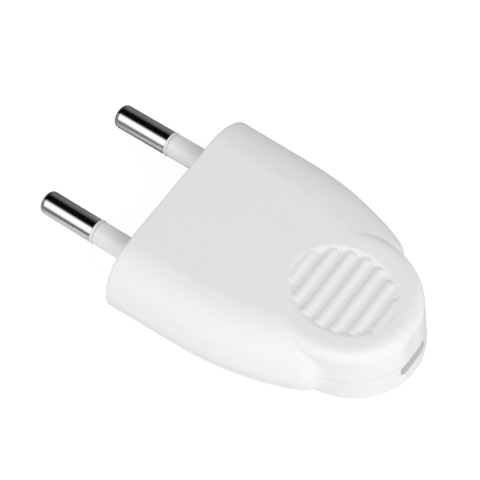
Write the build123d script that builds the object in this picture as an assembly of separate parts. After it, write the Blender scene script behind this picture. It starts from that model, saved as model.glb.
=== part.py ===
from build123d import *
import os
from math import asin, cos, radians, sin, sqrt, tan

# Two-pin mains plug with a flat two-shell housing, in millimetres.
# The origin is the centre of the front face, level with the pins. +Y points along the pins
# towards their tips, +X to the right-hand pin seen from behind, and +Z up to the upper cover.

# Contact pins
pin_spacing = 19.0
pin_radius = 2.0
pin_reach = 19.0
tip_corner_radius = 0.9
tip_corner_turn = 60.0
bare_length = 10.5
core_radius = 1.45

# Insulating sleeves
sleeve_radius = 1.97
bead_radius = 2.08
bead_length = 0.5
sleeve_depth = 2.2
root_radius = 2.3
collar_radius = 2.8
collar_length = 1.4

# Housing: a flat body with rolled shoulders that narrows into an oval tail
front_half_width = 18.3
half_height = 7.3
shoulder_width = 8.3
side_draft = 1.2
straight_length = 13.5
side_radius = 52.0
wing_length = 34.7
wing_corner_radius = 4.0
front_edge_radius = 0.45
tail_half_width = 11.0
tail_half_length = 12.4
tail_centre = 32.0
tail_length = 44.2
tail_edge_radius = 2.2
blend_radius = 3.0
joint_groove = 0.08
wall = 1.8
bulkhead = 7.0

# Ribbed grip in the top and bottom of the tail
grip_half_width = 7.1
grip_half_length = 8.9
grip_depth = 0.8
grip_slope = 0.7
grip_rim_radius = 0.25
rib_count = 7
rib_pitch = 2.56
rib_radius = 0.64
rib_rise = 0.04
rib_end_gap = 0.75

# Cord entry in the lower cover, for a flat two-core cord
cord_width = 6.0
cord_height = 2.6
cord_drop = 0.4
cord_corner_radius = 0.9

# Terminals
block_width = 6.0
block_length = 8.0
block_edge = 0.4
pin_socket_depth = 3.0
wire_radius = 1.5
terminal_screw_radius = 1.5
terminal_screw_length = 2.3
terminal_head_radius = 2.4
terminal_head_height = 1.5
terminal_screw_setback = 5.4
seat_wall = 1.2
seat_top = 0.6
holddown_width = 1.2
holddown_inset = 0.4

# Screw, nut and bosses that hold the two covers together
screw_setback = 19.0
screw_radius = 1.5
screw_length = 9.4
screw_head_radius = 2.75
screw_head_height = 1.8
screw_head_depth = 2.7
boss_radius = 3.6
boss_width = 8.6
nut_width = 5.5
nut_height = 1.8
screw_past_nut = 1.5
partition_width = 1.6
peg_radius = 1.2
peg_height = 2.0
peg_boss_radius = 2.2
peg_offset = 11.2
peg_setback = 24.0

# Cord clamp
clamp_setback = 36.5
clamp_screw_offset = 5.4
clamp_width = 4.2
clamp_thickness = 2.0
cord_squeeze = 0.2
clamp_ridge = 0.5
clamp_ridge_width = 0.8
clamp_screw_radius = 1.1
clamp_screw_length = 5.0
clamp_head_radius = 1.9
clamp_head_height = 1.1
clamp_boss_radius = 2.05

# Driver slots in the screw heads
slot_width = 0.6
slot_depth = 0.7

# Clearances
front_overrun = 1.0
slide_gap = 0.05
seat_gap = 0.1
press_gap = 0.01

# Levels that several pieces share: posts and ribs are rooted a little way inside the wall
body_ceiling = half_height - wall
body_root = body_ceiling + wall / 4
tail_ceiling = half_height - grip_depth - wall
tail_root = tail_ceiling + wall / 4
screw_seat = -half_height + screw_head_depth
screw_tip = screw_seat + screw_length
nut_floor = screw_tip - screw_past_nut - nut_height
clamp_rest = clamp_ridge - cord_drop - cord_squeeze
clamp_tip = clamp_rest + clamp_thickness - clamp_screw_length

left, right = -1, 1
standing = (Align.CENTER, Align.CENTER, Align.MIN)
hanging = (Align.CENTER, Align.CENTER, Align.MAX)


def turned(outline, x):
    # A turned piece: the edges of its half outline, as (radius, y), revolved about the pin's axis.
    return Pos(x, 0, 0) * revolve(make_face(outline), Axis.Y)


def bore(radius, near, far, x):
    # A round bar along Y between two setbacks from the front face.
    return Pos(x, -(near + far) / 2, 0) * Rot(90, 0, 0) * Cylinder(radius, far - near)


def post(radius, low, high, x, y):
    # A round post along Z between two levels.
    return Pos(x, y, low) * Cylinder(radius, high - low, align=standing)


def bar(width, length, low, high, x, y):
    # A rectangular block centred on (x, y) between two levels.
    return Pos(x, y, low) * Box(width, length, high - low, align=standing)


def side_points(inset):
    # Points (x, y) down the right side of the body: a drafted straight, a wide arc and the
    # rounded wing corner.
    draft = radians(side_draft)
    arc_x = front_half_width - straight_length * tan(draft) - side_radius * cos(draft)
    arc_back = straight_length - side_radius * sin(draft)
    corner_back = wing_length - wing_corner_radius
    turn = asin((corner_back - arc_back) / (side_radius - wing_corner_radius))
    corner_x = arc_x + (side_radius - wing_corner_radius) * cos(turn)
    points = []
    for setback in (-front_overrun, straight_length / 3, 2 * straight_length / 3):
        points.append((front_half_width - setback * tan(draft) - inset / cos(draft), -setback))
    for step in range(5):
        angle = draft + (turn - draft) * step / 4
        reach = side_radius - inset
        points.append((arc_x + reach * cos(angle), -arc_back - reach * sin(angle)))
    for step in range(1, 7):
        angle = turn + (radians(90) - turn) * step / 6
        reach = wing_corner_radius - inset
        points.append((corner_x + reach * cos(angle), -corner_back - reach * sin(angle)))
    return points


def body_outline(turn, inset):
    # The body's outline at one level of its rolled shoulder: turn is 0 at the parting plane and
    # 90 on top, where the sides have moved inwards by the shoulder's width.
    inward = (shoulder_width - inset) * (1 - cos(radians(turn)))
    right_side = [(x - inward, y) for x, y in side_points(inset)]
    left_side = [(-x, y) for x, y in right_side]
    edges = [
        Spline(*right_side),
        Line(right_side[-1], left_side[-1]),
        Spline(*left_side),
        Line(left_side[0], right_side[0]),
    ]
    return make_face(edges)


def tail_outline(inset):
    oval = Ellipse(tail_half_length - inset, tail_half_width - inset)
    return Pos(0, -tail_centre) * Rot(0, 0, 90) * oval


def housing_outline(turn, inset):
    # Body and tail at one level, with a wide blend in the two creases between them.
    level = half_height * sin(radians(turn))
    edge_rise = max(level - (half_height - tail_edge_radius), 0)
    edge_inset = tail_edge_radius - sqrt(tail_edge_radius ** 2 - edge_rise ** 2)
    outline = body_outline(turn, inset) + tail_outline(inset + edge_inset)
    creases = outline.vertices().filter_by(lambda vertex: vertex.Y < -straight_length)
    return Pos(0, 0, level) * fillet(creases, blend_radius + inset)


def trimmed(solid, front, back):
    # What lies between two setbacks from the front face.
    room = bar(4 * front_half_width, back - front, -half_height, 2 * half_height, 0, -(front + back) / 2)
    return solid & room


def outer_half():
    # The housing above the parting plane, with a soft front edge and a fine groove at the joint.
    skin = trimmed(loft([housing_outline(turn, 0) for turn in range(0, 91, 10)]), 0, tail_length)
    front_edges = skin.faces().sort_by(Axis.Y)[-1].edges().sort_by(Axis.Z)[1:]
    skin = fillet(front_edges, front_edge_radius)
    width = 4 * front_half_width
    skin -= bar(width, 4 * tail_length, -half_height, joint_groove, 0, 0)
    foot = extrude(housing_outline(0, joint_groove), amount=joint_groove)
    return skin + trimmed(foot, 0, tail_length - joint_groove)


def inner_half():
    # The room inside, above the parting plane: lower over the grip than over the terminals.
    levels = []
    for turn in range(0, 91, 15):
        level = body_ceiling * sin(radians(turn))
        levels.append(Pos(0, 0, level) * body_outline(turn, wall))
    room = trimmed(loft(levels), bulkhead, wing_length - wall)
    grip_front = tail_centre - grip_half_length - wall
    grip_y = -grip_front - tail_length / 2
    room -= bar(4 * tail_half_width, tail_length, tail_ceiling, half_height, 0, grip_y)
    tail = extrude(tail_outline(wall), amount=tail_ceiling)
    return room + trimmed(tail, bulkhead, tail_length - wall)


def grip_recess():
    # The oval recess of the grip, as a solid to cut away.
    mouth = Pos(0, -tail_centre, half_height) * Ellipse(grip_half_width, grip_half_length)
    floor = Pos(0, -tail_centre, half_height - grip_depth) * Ellipse(
        grip_half_width - grip_slope, grip_half_length - grip_slope
    )
    return loft([floor, mouth], ruled=True)


def grip_ribs():
    # The rounded ribs across the grip, each as long as the oval allows at its place.
    ribs = []
    for index in range(rib_count):
        offset = (index - (rib_count - 1) / 2) * rib_pitch
        chord = grip_half_width * sqrt(1 - (offset / grip_half_length) ** 2)
        reach = chord - rib_end_gap - rib_radius
        rib = Rot(0, 90, 0) * Cylinder(rib_radius, 2 * reach)
        for side in (left, right):
            rib += Pos(side * reach, 0, 0) * Sphere(rib_radius)
        ribs.append(Pos(0, offset - tail_centre, half_height - grip_depth + rib_rise) * rib)
    return ribs


def shell_half():
    # One hollow cover above the parting plane, before it gets its inner features.
    shell = outer_half() - grip_recess()
    for rib in grip_ribs():
        shell += rib
    top = shell.faces().sort_by(Axis.Z)[-1]
    shell = fillet(top.inner_wires()[0].edges(), grip_rim_radius)
    return shell - inner_half()


def pin_seats(reach):
    # The half bores and grooves that hold both sleeves and pins in the front bulkhead.
    seats = []
    groove_front = sleeve_depth - collar_length - slide_gap
    for side in (left, right):
        x = side * pin_spacing / 2
        seats.append(bore(root_radius + slide_gap, -reach, sleeve_depth, x))
        seats.append(bore(collar_radius + slide_gap, groove_front, sleeve_depth + slide_gap, x))
        seats.append(bore(core_radius + slide_gap, sleeve_depth, bulkhead + reach, x))
    return seats


def make_upper_cover(shell):
    # The gripped cover: hold-down ribs, the nut boss, half of the partition and the peg sockets.
    cover = shell
    for seat in pin_seats(1.0):
        cover -= seat
    for side in (left, right):
        x = side * pin_spacing / 2
        low = block_width / 2 + seat_gap
        width = block_width - 2 * holddown_inset
        cover += bar(width, holddown_width, low, body_root, x, -bulkhead - holddown_width / 2)
        cover += post(peg_boss_radius, 0, tail_root, side * peg_offset, -peg_setback)
        cover -= post(peg_radius + slide_gap, 0, peg_height + seat_gap, side * peg_offset, -peg_setback)
    boss_back = screw_setback + boss_width / 2
    cover += bar(partition_width, boss_back - bulkhead, 0, body_root, 0, -(bulkhead + boss_back) / 2)
    cover += bar(boss_width, boss_width, 0, body_root, 0, -screw_setback)
    cover -= post(screw_radius + seat_gap, 0, screw_tip + seat_gap, 0, -screw_setback)
    pocket = nut_width + 2 * seat_gap
    pocket_back = screw_setback + boss_width
    pocket_front = screw_setback - pocket / 2
    cover -= bar(
        pocket,
        pocket_back - pocket_front,
        nut_floor,
        nut_floor + nut_height + seat_gap,
        0,
        -(pocket_back + pocket_front) / 2,
    )
    return cover


def make_lower_cover(shell):
    # The screwed cover: terminal seats, the screw boss, the pegs, the clamp posts and the cord entry.
    cover = mirror(shell, Plane.XY)
    for seat in pin_seats(1.0):
        cover -= seat
    for side in (left, right):
        x = side * pin_spacing / 2
        seat_width = block_width + 2 * (seat_wall + slide_gap)
        seat_length = block_length - 2 * block_edge
        centre = bulkhead + seat_gap + block_length / 2
        cover += bar(seat_width, seat_length, -body_root, -seat_top, x, -centre)
        seat_floor = -block_width / 2 - slide_gap
        seat_y = -bulkhead - block_length
        cover -= bar(block_width + 2 * slide_gap, 2 * block_length, seat_floor, 0, x, seat_y)
        cover += post(peg_boss_radius, -tail_root, 0, side * peg_offset, -peg_setback)
        cover += post(peg_radius, 0, peg_height, side * peg_offset, -peg_setback)
    bed_length = 2 * clamp_screw_offset
    cover += bar(bed_length, clamp_width, -tail_root, -cord_drop - cord_height, 0, -clamp_setback)
    for side in (left, right):
        x = side * clamp_screw_offset
        cover += post(clamp_boss_radius, -tail_root, clamp_rest, x, -clamp_setback)
        cover -= post(clamp_screw_radius, clamp_tip - seat_gap, clamp_rest, x, -clamp_setback)
    boss_back = screw_setback + boss_width / 2
    cover += bar(partition_width, boss_back - bulkhead, -body_root, 0, 0, -(bulkhead + boss_back) / 2)
    cover += post(boss_radius, -body_root, 0, 0, -screw_setback)
    cover -= post(screw_radius + seat_gap, -half_height, 0, 0, -screw_setback)
    cover -= post(screw_head_radius + seat_gap, -half_height, screw_seat, 0, -screw_setback)
    slot = RectangleRounded(cord_width, cord_height, cord_corner_radius)
    entry = Plane.XZ * Pos(0, -cord_drop - cord_height / 2) * slot
    return cover - Pos(0, -tail_length + 2 * wall, 0) * extrude(entry, amount=4 * wall)


def make_pin(x):
    # A turned pin: domed tip, bare contact, and a thinner core that runs back into the terminal.
    # The dome is a small corner arc that runs on into a wide crown centred on the axis.
    shoulder = pin_reach - bare_length
    root = -(bulkhead + seat_gap + pin_socket_depth)
    turn = radians(tip_corner_turn)
    inner = pin_radius - tip_corner_radius
    crown_radius = tip_corner_radius + inner / cos(turn)
    crown_centre = pin_reach - crown_radius
    corner_centre = crown_centre + inner * tan(turn)
    outline = [
        CenterArc((0, crown_centre), crown_radius, tip_corner_turn, 90 - tip_corner_turn),
        CenterArc((inner, corner_centre), tip_corner_radius, 0, tip_corner_turn),
        Polyline(
            (pin_radius, corner_centre),
            (pin_radius, shoulder),
            (core_radius, shoulder),
            (core_radius, root),
            (0, root),
            (0, pin_reach),
        ),
    ]
    return turned(outline, x)


def make_sleeve(x):
    # The moulded sleeve: a rounded lip against the bare metal, and a thicker root and collar that
    # the covers hold.
    mouth = pin_reach - bare_length
    inner = core_radius + press_gap
    lip_start = (sleeve_radius, mouth - bead_length)
    lip_crest = (bead_radius, mouth - bead_length / 2)
    lip_end = (sleeve_radius, mouth)
    outline = [
        ThreePointArc(lip_start, lip_crest, lip_end),
        Polyline(
            lip_start,
            (sleeve_radius, 0),
            (root_radius, 0),
            (root_radius, -sleeve_depth + collar_length),
            (collar_radius, -sleeve_depth + collar_length),
            (collar_radius, -sleeve_depth),
            (inner, -sleeve_depth),
            (inner, mouth),
            lip_end,
        ),
    ]
    return turned(outline, x)


def make_terminal_block(x):
    # A brass pillar terminal: the pin's socket in front, the wire hole behind, the screw above.
    front = bulkhead + seat_gap
    back = front + block_length
    body = bar(block_width, block_length, -block_width / 2, block_width / 2, x, -(front + back) / 2)
    body = chamfer(body.edges().filter_by(Axis.Y), block_edge)
    body -= bore(core_radius + press_gap, front, front + pin_socket_depth + seat_gap, x)
    body -= bore(wire_radius, front + pin_socket_depth + seat_gap, back, x)
    return body - post(terminal_screw_radius + press_gap, 0, block_width, x, -front - terminal_screw_setback)


def slotted_screw(radius, length, head_radius, head_height):
    # A cheese-head screw that points down, with the underside of its head at the origin.
    screw = Cylinder(radius, length, align=hanging)
    head = Cylinder(head_radius, head_height, align=standing)
    head = fillet(head.edges().sort_by(Axis.Z)[-1], head_height / 5)
    slot = Box(3 * head_radius, slot_width, slot_depth, align=hanging)
    return screw + head - Pos(0, 0, head_height) * slot


def make_terminal_screw(x):
    # The screw that clamps the wire, run down onto the top of its terminal.
    screw = slotted_screw(
        terminal_screw_radius, terminal_screw_length, terminal_head_radius, terminal_head_height
    )
    setback = bulkhead + seat_gap + terminal_screw_setback
    return Pos(x, -setback, block_width / 2) * Rot(0, 0, 35) * screw


def make_clamp_screw(x):
    # The screw at one end of the cord clamp, in a post of the lower cover.
    screw = slotted_screw(
        clamp_screw_radius - slide_gap, clamp_screw_length, clamp_head_radius, clamp_head_height
    )
    return Pos(x, -clamp_setback, clamp_rest + clamp_thickness) * Rot(0, 0, 20) * screw


def make_cord_clamp():
    # The bar that grips the cord, with cross ridges beneath and a screw hole at each end.
    length = 2 * clamp_screw_offset + clamp_width
    strip = extrude(SlotOverall(length, clamp_width), amount=clamp_thickness)
    clamp = Pos(0, -clamp_setback, clamp_rest) * strip
    ridge_low = clamp_rest - clamp_ridge
    for step in (-1, 0, 1):
        y = -clamp_setback + step * (clamp_width - clamp_ridge_width) / 2
        clamp += bar(cord_width, clamp_ridge_width, ridge_low, clamp_rest, 0, y)
    hole_radius = clamp_screw_radius + seat_gap
    for side in (left, right):
        clamp -= post(hole_radius, clamp_rest, half_height, side * clamp_screw_offset, -clamp_setback)
    return clamp


def make_housing_screw():
    # The screw that closes the housing, driven from below into the captive nut.
    screw = slotted_screw(screw_radius, screw_length, screw_head_radius, screw_head_height)
    return Pos(0, -screw_setback, screw_seat) * Rot(180, 0, 0) * Rot(0, 0, 45) * screw


def make_housing_nut():
    # The square nut that sits in a side pocket of the upper boss.
    nut = bar(nut_width, nut_width, nut_floor, nut_floor + nut_height, 0, -screw_setback)
    nut = chamfer(nut.edges().filter_by(Axis.Z), block_edge)
    return nut - post(screw_radius + press_gap, 0, half_height, 0, -screw_setback)


shell = shell_half()
pieces = {
    "upper_cover": make_upper_cover(shell),
    "lower_cover": make_lower_cover(shell),
    "cord_clamp": make_cord_clamp(),
    "housing_screw": make_housing_screw(),
    "housing_nut": make_housing_nut(),
}
for name, side in (("left", left), ("right", right)):
    pieces[name + "_pin"] = make_pin(side * pin_spacing / 2)
    pieces[name + "_sleeve"] = make_sleeve(side * pin_spacing / 2)
    pieces[name + "_terminal"] = make_terminal_block(side * pin_spacing / 2)
    pieces[name + "_terminal_screw"] = make_terminal_screw(side * pin_spacing / 2)
    pieces[name + "_clamp_screw"] = make_clamp_screw(side * clamp_screw_offset)

os.makedirs("parts", exist_ok=True)
for name, piece in pieces.items():
    export_step(piece, f"parts/{name}.step")
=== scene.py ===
import math
import bpy
from mathutils import Matrix, Vector


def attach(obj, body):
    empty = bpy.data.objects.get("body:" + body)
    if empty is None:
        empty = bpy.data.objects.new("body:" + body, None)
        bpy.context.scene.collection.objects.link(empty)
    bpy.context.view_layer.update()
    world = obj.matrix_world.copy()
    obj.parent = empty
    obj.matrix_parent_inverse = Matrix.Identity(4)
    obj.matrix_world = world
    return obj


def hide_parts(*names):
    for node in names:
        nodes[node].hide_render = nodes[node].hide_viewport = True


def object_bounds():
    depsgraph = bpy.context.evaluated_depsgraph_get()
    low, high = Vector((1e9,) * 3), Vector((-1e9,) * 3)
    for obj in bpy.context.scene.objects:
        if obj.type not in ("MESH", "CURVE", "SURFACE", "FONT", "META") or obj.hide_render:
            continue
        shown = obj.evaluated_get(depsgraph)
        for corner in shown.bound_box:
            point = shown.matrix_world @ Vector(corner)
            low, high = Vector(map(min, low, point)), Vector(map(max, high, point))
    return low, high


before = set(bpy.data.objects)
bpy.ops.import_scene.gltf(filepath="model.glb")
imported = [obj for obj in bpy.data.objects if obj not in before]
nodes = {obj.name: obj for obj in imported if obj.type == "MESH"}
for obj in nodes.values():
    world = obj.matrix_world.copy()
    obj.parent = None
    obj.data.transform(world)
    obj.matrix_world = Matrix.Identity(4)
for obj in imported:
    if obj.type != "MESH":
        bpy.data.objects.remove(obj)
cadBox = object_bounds()
mm = 0.001
print("frame loaded:", len(nodes), "nodes")


class Wire:
    # one socket of a node tree, so that shader maths reads as a sum

    def __init__(self, tree, socket=None):
        self.tree = tree
        self.socket = socket

    def node(self, kind, settings, values, result=0):
        made = self.tree.nodes.new(kind)
        for name, value in settings.items():
            if name == "stops":
                while len(made.color_ramp.elements) < len(value):
                    made.color_ramp.elements.new(0.5)
                for element, (place, shade) in zip(made.color_ramp.elements, value):
                    element.position = place
                    element.color = (shade, shade, shade, 1)
            else:
                setattr(made, name, value)
        for name, value in values.items():
            self.feed(made.inputs[name], value)
        return Wire(self.tree, made.outputs[result])

    def feed(self, socket, value):
        if isinstance(value, Wire):
            self.tree.links.new(value.socket, socket)
        else:
            socket.default_value = value

    def maths(self, operation, *values):
        return self.node("ShaderNodeMath", {"operation": operation}, dict(enumerate(values)))

    def __add__(self, other):
        return self.maths("ADD", self, other)

    def __sub__(self, other):
        return self.maths("SUBTRACT", self, other)

    def __mul__(self, other):
        return self.maths("MULTIPLY", self, other)

    def __rsub__(self, other):
        return self.maths("SUBTRACT", other, self)

    __radd__ = __add__
    __rmul__ = __mul__


def newMaterial(name, fixed):
    # a principled shader with its fixed values, and the place on the object, in metres
    material = bpy.data.materials.new(name)
    material.use_nodes = True
    material.diffuse_color = (*fixed["Base Color"], 1)
    tree = material.node_tree
    shader = tree.nodes["Principled BSDF"]
    for socket, value in fixed.items():
        shader.inputs[socket].default_value = (*value, 1) if socket == "Base Color" else value
    root = Wire(tree)
    place = root.node("ShaderNodeTexCoord", {}, {}, "Object")
    return material, shader, root, place


def axis(root, place, letter):
    return root.node("ShaderNodeSeparateXYZ", {}, {0: place}, letter)


def noise(root, place, stretch, scale, detail):
    # soft noise from 0 to 1, with a scale in cells per metre; an axis stretched by less than 1
    # draws the noise out into lines, and two such axes into rings
    scaled = root.node("ShaderNodeMapping", {}, {"Vector": place, "Scale": stretch})
    return root.node("ShaderNodeTexNoise", {}, {"Vector": scaled, "Scale": scale, "Detail": detail})


def darkened(root, colour, amount):
    # the colour times 1 - amount
    return root.node("ShaderNodeMix", {"data_type": "RGBA"}, {0: amount, 6: (*colour, 1), 7: (0, 0, 0, 1)}, 2)


def softStep(root, value, start, end):
    # rises softly from 0 to 1 as the value goes from start to end
    return root.node("ShaderNodeMapRange", {"interpolation_type": "SMOOTHSTEP"}, {
        "Value": value, "From Min": start, "From Max": end,
    })


# The finish of each slot. The mottle is noise in soft patches, and the relief is finer noise that
# also shapes the surface. Each darkens the colour or adds to the roughness by the share given.
finishLooks = {
    # satin white plastic with the fine grain of a sparked mould
    "housing_plastic": {
        "name": "whiteMoulding",
        "fixed": {"Base Color": (0.80, 0.80, 0.80), "Roughness": 0.38, "IOR": 1.49},
        "mottle": {"scale": 140, "detail": 2.0, "darkens": 0.02, "dulls": 0.08},
        "relief": {"scale": 5200, "detail": 3.0, "stretch": (1, 1, 1), "dulls": 0.0,
                   "strength": 0.5, "height": 0.004 * mm},
    },
    # as white as the covers, with a smoother and glossier skin; behind the lip a thin band of painted shade
    # darkens the colour, for the shade of a fine groove
    "sleeve_plastic": {
        "name": "sleevePlastic",
        "fixed": {"Base Color": (0.79, 0.79, 0.79), "Roughness": 0.24, "IOR": 1.52},
        "mottle": {"scale": 300, "detail": 2.0, "darkens": 0.032, "dulls": 0.08},
        "relief": {"scale": 900, "detail": 2.0, "stretch": (1, 0.4, 1), "dulls": 0.0,
                   "strength": 0.3, "height": 0.004 * mm},
        # painted shade: a narrow band at this place along the sleeve darkens its colour, as the shade of a
        # groove behind the lip
        "paintedGrooveShade": {"place": 7.95 * mm, "width": 0.14 * mm, "darkens": 0.4},
    },
    # bright nickel over turned brass, with faint rings left by the tool
    "pin_plating": {
        "name": "nickelPlate",
        "fixed": {"Base Color": (0.74, 0.73, 0.71), "Metallic": 1.0, "Roughness": 0.10},
        "mottle": {"scale": 220, "detail": 2.0, "darkens": 0.03, "dulls": 0.0},
        "relief": {"scale": 5000, "detail": 3.0, "stretch": (0.03, 1, 0.03), "dulls": 0.04,
                   "strength": 0.3, "height": 0.0008 * mm},
    },
    # drawn brass bar: marks along the draw, and a warm tarnish in soft patches
    "terminal_brass": {
        "name": "terminalBrass",
        "fixed": {"Base Color": (0.78, 0.57, 0.27), "Metallic": 1.0, "Roughness": 0.24},
        "mottle": {"scale": 260, "detail": 4.0, "darkens": 0.22, "dulls": 0.0},
        "relief": {"scale": 4200, "detail": 3.0, "stretch": (1, 0.05, 1), "dulls": 0.16,
                   "strength": 0.4, "height": 0.002 * mm},
    },
    # zinc-plated steel of the screws and the nut, with a soft bloom
    "screw_steel": {
        "name": "screwSteel",
        "fixed": {"Base Color": (0.66, 0.67, 0.68), "Metallic": 1.0, "Roughness": 0.26},
        "mottle": {"scale": 500, "detail": 4.0, "darkens": 0.15, "dulls": 0.16},
        "relief": {"scale": 6000, "detail": 2.0, "stretch": (1, 1, 1), "dulls": 0.0,
                   "strength": 0.4, "height": 0.0015 * mm},
    },
    # matt unpolished plastic, slightly warmer than the covers
    "clamp_plastic": {
        "name": "clampPlastic",
        "fixed": {"Base Color": (0.66, 0.64, 0.58), "Roughness": 0.5, "IOR": 1.5},
        "mottle": {"scale": 240, "detail": 2.0, "darkens": 0.08, "dulls": 0.1},
        "relief": {"scale": 4200, "detail": 3.0, "stretch": (1, 1, 1), "dulls": 0.0,
                   "strength": 0.5, "height": 0.006 * mm},
    },
}
slotEndings = [
    ("_cover", "housing_plastic"), ("_sleeve", "sleeve_plastic"), ("_pin", "pin_plating"),
    ("_terminal", "terminal_brass"), ("cord_clamp", "clamp_plastic"), ("", "screw_steel"),
]


def makeFinish(look):
    material, shader, root, place = newMaterial(look["name"], look["fixed"])
    mottle, relief = look["mottle"], look["relief"]
    patches = noise(root, place, (1, 1, 1), mottle["scale"], mottle["detail"])
    marks = noise(root, place, relief["stretch"], relief["scale"], relief["detail"])
    darkness = patches * mottle["darkens"]
    # painted shade: darkens the colour in a narrow band along the sleeve, as the shade of a fine groove
    if "paintedGrooveShade" in look:
        paintedGrooveShade = look["paintedGrooveShade"]
        distance = root.maths("ABSOLUTE", axis(root, place, "Y") - paintedGrooveShade["place"])
        darkness = darkness + softStep(root, distance, paintedGrooveShade["width"], 0.0) * paintedGrooveShade["darkens"]
    dullness = patches * mottle["dulls"] + marks * relief["dulls"]
    bump = root.node("ShaderNodeBump", {}, {
        "Height": marks, "Strength": relief["strength"], "Distance": relief["height"],
    })
    root.feed(shader.inputs["Base Color"], darkened(root, look["fixed"]["Base Color"], darkness))
    root.feed(shader.inputs["Roughness"], dullness + look["fixed"]["Roughness"])
    root.feed(shader.inputs["Normal"], bump)
    return material


grip = {
    "centre": -32.0 * mm,  # along the plug's axis
    "halfWidth": 7.22 * mm,
    "halfLength": 9.02 * mm,
    "depth": 0.5 * mm,
    "wallShare": 0.17,  # part of the way from the rim to the middle that the wall takes
    "pitch": 2.56 * mm,
    "ribs": 7,
    "ribShare": 0.97,  # height of a rib as a part of the grip's depth
    "ribHalf": 0.96 * mm,
    "footRound": 0.02,  # how softly a rib's round runs into the floor beside it
    "endGap": 0.6 * mm,
    "endRound": 0.55 * mm,
    "cutReach": 1.05,  # the solid's grip is cut out to here, as a part of the oval,
    "cutFrom": 0.002 * mm,  # and between these depths below the flat
    "cutTo": 1.2 * mm,
    "cuts": 3,
    "rings": 64,
}
rolledEdge = {
    "startsAt": 1.0,  # millimetres behind the face, where the front edge's own round ends
    "fullAt": 2.5,
    # levels in millimetres on the solid, and where the skin has them, for an even roll up to the flat
    "levels": [
        (7.0, 7.0), (7.058, 7.044), (7.121, 7.098), (7.16, 7.146), (7.188, 7.187),
        (7.194, 7.222), (7.2, 7.256), (7.21, 7.284), (7.235, 7.295), (7.3, 7.3),
    ],
}
skin = {
    "slot": "housing_plastic",
    "sameLevel": 0.001 * mm,  # points closer than this are one, and lie on one level
    "sharpAngle": 32,
    "normalWeight": 75,
}


def smooth(value):
    value = min(max(value, 0), 1)
    return value * value * (3 - 2 * value)


def gripDepth(x, y):
    # how far the surface lies below the cover's flat at a place measured from the grip's middle
    outwards = math.hypot(x / grip["halfWidth"], y / grip["halfLength"])
    hollow = grip["depth"] * smooth((1 - outwards) / grip["wallShare"])
    rib = round(y / grip["pitch"])
    if abs(rib) > grip["ribs"] // 2:
        return hollow
    middle = rib * grip["pitch"]
    reach = grip["halfWidth"] * math.sqrt(1 - (middle / grip["halfLength"]) ** 2) - grip["endGap"]
    rise = 1 - ((y - middle) / grip["ribHalf"]) ** 2
    crest = (rise + math.sqrt(rise * rise + grip["footRound"])) / 2
    return hollow * (1 - grip["ribShare"] * crest * smooth((reach - abs(x)) / grip["endRound"]))


def rolledLevel(level, behind):
    # the skin's level for a level on the solid, so far behind the face, all in millimetres
    levels = rolledEdge["levels"]
    share = smooth((behind - rolledEdge["startsAt"]) / (rolledEdge["fullAt"] - rolledEdge["startsAt"]))
    for (low, lowSkin), (high, highSkin) in zip(levels, levels[1:]):
        if low <= level <= high:
            evened = lowSkin + (highSkin - lowSkin) * (level - low) / (high - low)
            return level + (evened - level) * share
    return level


def copyNode(node, name):
    # a merged copy of a node
    bpy.ops.object.select_all(action="DESELECT")
    node.select_set(True)
    bpy.context.view_layer.objects.active = node
    bpy.ops.object.duplicate()
    piece = bpy.context.object
    piece.name = name
    bpy.ops.mesh.customdata_custom_splitnormals_clear()
    bpy.ops.object.mode_set(mode="EDIT")
    bpy.ops.mesh.select_all(action="SELECT")
    bpy.ops.mesh.remove_doubles(threshold=skin["sameLevel"])
    bpy.ops.mesh.select_all(action="DESELECT")
    bpy.ops.object.mode_set(mode="OBJECT")
    return piece


def cutGrip(piece, side, top):
    # takes out the grip's flat floor with its ribs and wall, which leaves an open rim
    for face in piece.data.polygons:
        along = (face.center.y - grip["centre"]) / grip["halfLength"]
        inside = math.hypot(face.center.x / grip["halfWidth"], along) < grip["cutReach"]
        face.select = inside and grip["cutFrom"] < top - side * face.center.z < grip["cutTo"]
    bpy.ops.object.mode_set(mode="EDIT")
    bpy.ops.mesh.delete(type="FACE")


def fillRim(side, top):
    # draws the open rim inwards ring by ring to the grip's middle
    bpy.ops.mesh.select_mode(type="EDGE")
    bpy.ops.mesh.select_non_manifold(
        extend=False, use_wire=False, use_multi_face=False, use_non_contiguous=False, use_verts=False,
    )
    bpy.ops.mesh.subdivide(number_cuts=grip["cuts"])
    middle = (0, grip["centre"], side * top)
    for ring in range(grip["rings"], 1, -1):
        bpy.ops.mesh.extrude_edges_move()
        bpy.ops.transform.resize(value=((ring - 1) / ring,) * 3, center_override=middle)
    bpy.ops.mesh.merge(type="CENTER")
    bpy.ops.object.mode_set(mode="OBJECT")


def shapeSkin(piece, side, top):
    # lowers the new rings to the grip's form, and evens out the rolled edge
    for vertex in piece.data.vertices:
        place = vertex.co
        if abs(side * place.z - top) < skin["sameLevel"]:
            place.z = side * (top - gripDepth(place.x, place.y - grip["centre"]))
        else:
            place.z = side * mm * rolledLevel(side * place.z / mm, -place.y / mm)


def smoothNormals(piece):
    bpy.ops.object.shade_smooth_by_angle(angle=math.radians(skin["sharpAngle"]))
    bpy.ops.object.modifier_add(type="WEIGHTED_NORMAL")
    evened = piece.modifiers[-1]
    evened.keep_sharp = True
    evened.weight = skin["normalWeight"]
    bpy.ops.object.modifier_apply(modifier=evened.name)


def makeCover(name, side):
    # a cover with a grip that is one rolling surface, and an even roll at its edge
    piece = copyNode(nodes[name], name + "Skin")
    top = max(side * vertex.co.z for vertex in piece.data.vertices)
    cutGrip(piece, side, top)
    fillRim(side, top)
    shapeSkin(piece, side, top)
    smoothNormals(piece)
    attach(piece, "root")
    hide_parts(name)
    print(piece.name, len(piece.data.polygons), "faces")
    return piece


skins = [makeCover("upper_cover", 1), makeCover("lower_cover", -1)]

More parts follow.
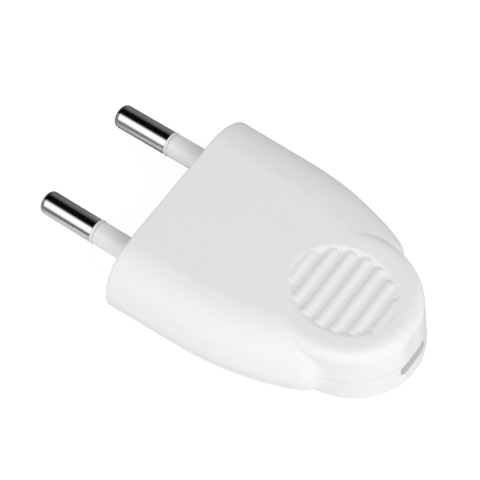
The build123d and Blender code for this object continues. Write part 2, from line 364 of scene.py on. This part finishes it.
finishes = {slot: makeFinish(look) for slot, look in finishLooks.items()}
finished = [(piece, skin["slot"]) for piece in skins]
for name, node in nodes.items():
    finished.append((node, next(slot for ending, slot in slotEndings if name.endswith(ending))))
for piece, slot in finished:
    piece.data.materials.clear()
    piece.data.materials.append(finishes[slot])
print("materials made:", len(finished), "pieces finished")

view = {
    "aim": (1.43 * mm, -11.16 * mm, 0),
    "distance": 326.45 * mm,
    "azimuth": 43.25,
    "elevation": 59.94,
    "roll": -11.93,
    "lens": 159.4,
    "sensor": 36,
    "nearest": 0.01,
    "farthest": 5,
}


def makeCamera():
    turn = math.radians(view["azimuth"])
    rise = math.radians(view["elevation"])
    back = Vector((-math.sin(turn) * math.cos(rise), -math.cos(turn) * math.cos(rise), math.sin(rise)))
    bpy.ops.object.camera_add()
    camera = bpy.context.object
    camera.name = "camera"
    camera.location = Vector(view["aim"]) + back * view["distance"]
    level = (-back).to_track_quat("-Z", "Y").to_matrix().to_4x4()
    level = level @ Matrix.Rotation(math.radians(view["roll"]), 4, "Z")
    camera.rotation_mode = "QUATERNION"
    camera.rotation_quaternion = level.to_quaternion()
    camera.data.sensor_width = view["sensor"]
    camera.data.lens = view["lens"]
    camera.data.clip_start = view["nearest"]
    camera.data.clip_end = view["farthest"]
    bpy.context.scene.camera = camera


floorLook = {
    "name": "floorPaper",
    "size": 3.0,
    "fixed": {"Base Color": (0.85, 0.85, 0.85), "Roughness": 0.9},
    "shadowShare": 0.22,  # how much of the floor's own shading the camera sees over white
    "whiteStrength": 1.12,
    # painted shade in reflections: for reflected rays the floor's colour is darkened by place, which lays dark
    # bands on the pins
    "paperShare": 0.95,  # the floor's colour in reflections, as a part of its own
    "rightFrom": -2 * mm,  # right of here the floor's colour in reflections is painted dark, as the shade of a black card that the scene does not have
    "rightTo": 4 * mm,
    "rightPaintedShade": 0.65,
    "leftFrom": -35 * mm,  # far to the left too, as painted shade, so a dark band parts the floor from the soft box in reflections
    "leftTo": -100 * mm,
    "aheadFrom": 21 * mm,  # and painted dim ahead of the pins, where only their domes reflect it
    "aheadTo": 27 * mm,
    "aheadPaintedShade": 0.5,
}
studio = {
    "fill": 0.58,
    "forwardFrom": 0.40,  # reflections that leave more forwards than this meet a dim end wall
    "forwardTo": 0.62,
    "forwardShare": 0.25,
    # degrees round the pins from straight up, left negative, and the level reflected from there
    "bands": [
        (-90.8, 0.24), (-85.0, 0.28), (-76.4, 0.74), (-67.0, 1.35), (-62.0, 1.5), (-26.5, 1.5), (-17.3, 0.45),
        (-7.0, 0.0), (38.0, 0.0), (47.6, 0.08), (58.6, 0.15), (70.4, 0.19), (90.0, 0.28),
    ],
}
softLights = {
    "reach": 0.8,
    "size": 0.35,
    # each light's turn from straight ahead to the right, its rise, and its watts
    "lights": [(180, 15, 1.38), (180, 45, 1.92), (275, 15, 1.45), (325, 35, 0.95)],
}


def rayKind(root, kind):
    return root.node("ShaderNodeLightPath", {}, {}, kind)


def makeFloor():
    bpy.ops.object.select_all(action="DESELECT")
    bpy.ops.mesh.primitive_plane_add(size=floorLook["size"], location=(0, 0, cadBox[0].z))
    floor = bpy.context.object
    floor.name = "floor"
    material, shader, root, place = newMaterial(floorLook["name"], floorLook["fixed"])
    across, along = axis(root, place, "X"), axis(root, place, "Y")
    right = softStep(root, across, floorLook["rightFrom"], floorLook["rightTo"]) * floorLook["rightPaintedShade"]
    left = softStep(root, across, floorLook["leftFrom"], floorLook["leftTo"])
    ahead = softStep(root, along, floorLook["aheadFrom"], floorLook["aheadTo"]) * floorLook["aheadPaintedShade"]
    # painted shade: how far the floor's colour is darkened, seen in reflections only
    paintedReflectionShade = 1 - (1 - right) * (1 - left) * (1 - ahead) * floorLook["paperShare"]
    white = floorLook["fixed"]["Base Color"]
    root.feed(shader.inputs["Base Color"], darkened(root, white, paintedReflectionShade * rayKind(root, "Is Glossy Ray")))
    glow = root.node("ShaderNodeEmission", {}, {"Color": (1, 1, 1, 1), "Strength": floorLook["whiteStrength"]})
    glowShare = rayKind(root, "Is Camera Ray") * (1 - floorLook["shadowShare"])
    paper = Wire(root.tree, shader.outputs[0])
    shown = root.node("ShaderNodeMixShader", {}, {0: glowShare, 1: paper, 2: glow})
    root.feed(root.tree.nodes["Material Output"].inputs["Surface"], shown)
    floor.data.materials.append(material)


def makeWorld():
    # even light all round, white for the camera, and for reflections a studio of one wide soft
    # box on the left, a dark ceiling, a dim right side and a dim end wall
    world = bpy.data.worlds.new("studio")
    bpy.context.scene.world = world
    world.use_nodes = True
    root = Wire(world.node_tree)
    way = root.node("ShaderNodeTexCoord", {}, {}, "Generated")
    turn = root.maths("ARCTAN2", axis(root, way, "X"), axis(root, way, "Z")) * (0.5 / math.pi) + 0.5
    brightest = max(level for degrees, level in studio["bands"])
    stops = [(degrees / 360 + 0.5, level / brightest) for degrees, level in studio["bands"]]
    bands = root.node("ShaderNodeValToRGB", {"stops": stops}, {"Fac": turn})
    forward = softStep(root, axis(root, way, "Y"), studio["forwardFrom"], studio["forwardTo"])
    endWall = 1 - forward * (1 - studio["forwardShare"])
    glossy = rayKind(root, "Is Glossy Ray")
    plain = rayKind(root, "Is Camera Ray") + rayKind(root, "Is Transmission Ray")
    fill = (1 - plain) * (1 - glossy) * studio["fill"]
    background = world.node_tree.nodes["Background"]
    background.inputs["Color"].default_value = (1, 1, 1, 1)
    root.feed(background.inputs["Strength"], plain + fill + glossy * endWall * (bands * brightest))


def makeLight(turn, rise, power):
    turn, rise = math.radians(turn), math.radians(rise)
    way = Vector((math.sin(turn) * math.cos(rise), math.cos(turn) * math.cos(rise), math.sin(rise)))
    bpy.ops.object.light_add(type="AREA", location=way * softLights["reach"])
    light = bpy.context.object
    light.data.size = softLights["size"]
    light.data.energy = power
    light.visible_glossy = False
    light.rotation_euler = (-way).to_track_quat("-Z", "Y").to_euler()


makeCamera()
makeFloor()
makeWorld()
for turn, rise, power in softLights["lights"]:
    makeLight(turn, rise, power)
bpy.context.scene.view_settings.view_transform = "Standard"
print("camera and stage made")
